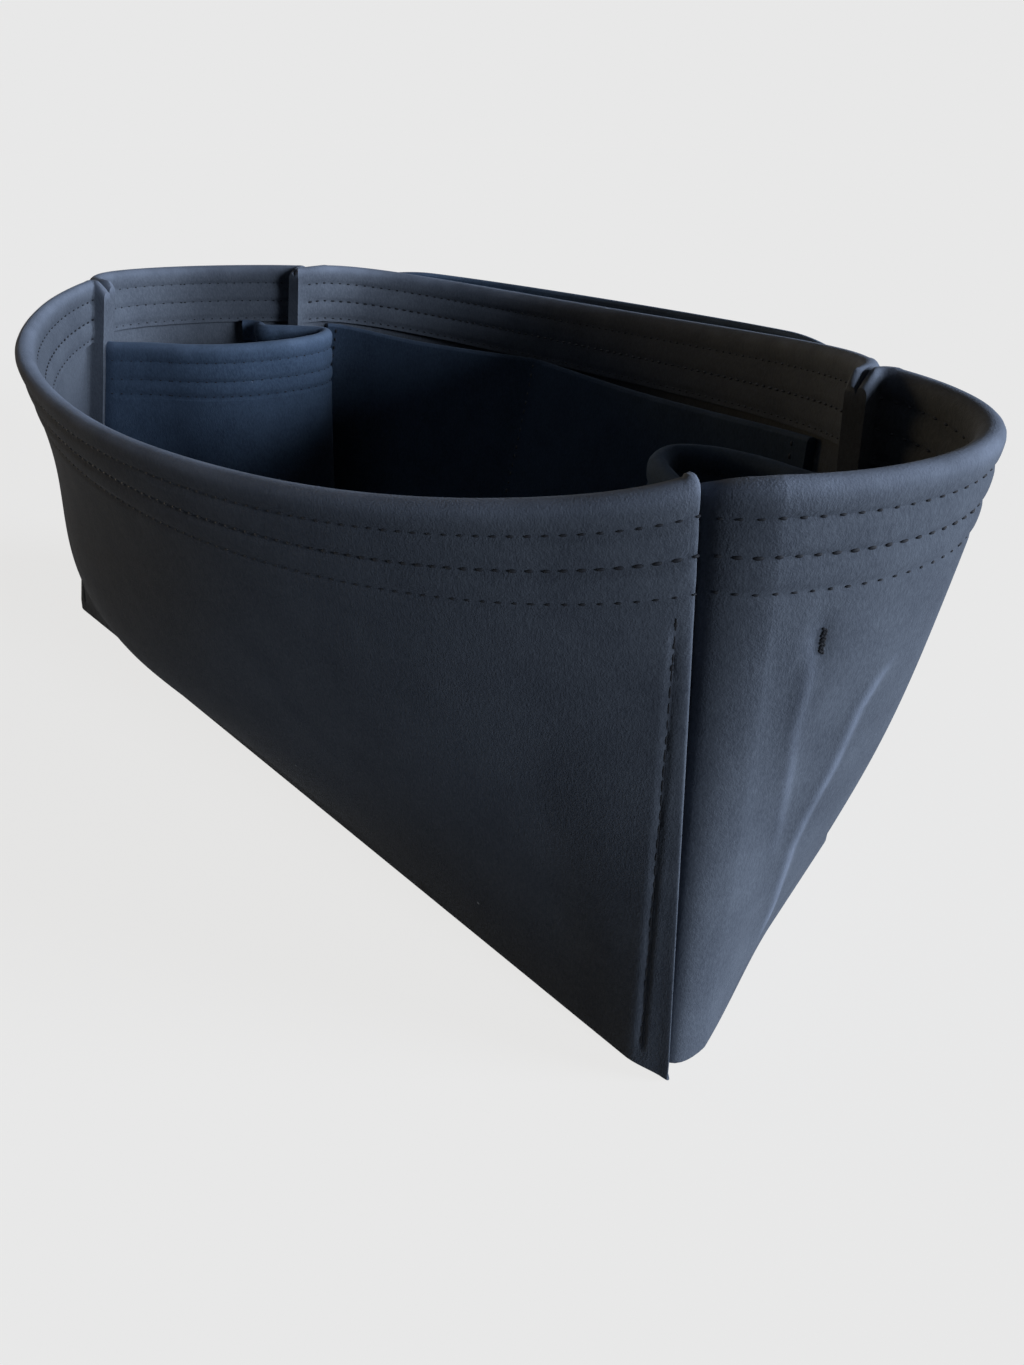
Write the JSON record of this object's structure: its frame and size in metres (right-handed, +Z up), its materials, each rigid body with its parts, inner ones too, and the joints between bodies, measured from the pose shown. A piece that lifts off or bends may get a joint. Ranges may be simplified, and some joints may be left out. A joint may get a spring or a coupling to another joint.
{
  "type": "handbag organizer insert",
  "caption": "Open-topped felt organizer insert for a handbag: bowed walls with hemmed rims and drawn-in corners, looped end pockets, an inner slip pocket and an outer pocket on the back wall.",
  "frame": {"origin": "middle of the underside of the base, on the surface the insert stands on", "axes": "+X along the length towards the right end, +Y towards the back wall, +Z up"},
  "size_m": [0.3215, 0.193, 0.1325],
  "materials": {
    "base_felt": "matte pressed felt",
    "wall_felt": "matte pressed felt",
    "pocket_felt": "matte pressed felt"
  },
  "bodies": {
    "shell": {"base_panel": "base_felt", "left_end_panel": "wall_felt", "right_end_panel": "wall_felt"},
    "front_wall": {"front_panel": "wall_felt"},
    "back_wall": {"back_panel": "wall_felt", "back_slip_pocket": "pocket_felt", "back_outer_pocket": "pocket_felt"},
    "left_pocket": {"left_end_pocket": "pocket_felt"},
    "right_pocket": {"right_end_pocket": "pocket_felt"}
  },
  "joints": [
    {"name": "front_wall_lean", "type": "hinge", "parent": "shell", "child": "front_wall", "pos_m": [0, -0.04775, 0.00125], "axis": [1, 0, 0], "range_deg": [0, 5], "stiffness_Nm_per_rad": 0.8, "springref_deg": -3.44},
    {"name": "back_wall_lean", "type": "hinge", "parent": "shell", "child": "back_wall", "pos_m": [0, 0.04775, 0.00125], "axis": [-1, 0, 0], "range_deg": [0, 5], "stiffness_Nm_per_rad": 1.6, "springref_deg": -3.44},
    {"name": "left_pocket_open", "type": "hinge", "parent": "shell", "child": "left_pocket", "pos_m": [-0.1473, -0.0418, 0.0028], "axis": [0, 0, -1], "range_deg": [0, 7], "stiffness_Nm_per_rad": 0.1, "springref_deg": -1.72},
    {"name": "right_pocket_open", "type": "hinge", "parent": "shell", "child": "right_pocket", "pos_m": [0.1273, 0.0366, 0.0028], "axis": [0, 0, -1], "range_deg": [0, 7], "stiffness_Nm_per_rad": 0.1, "springref_deg": -1.72}
  ]
}
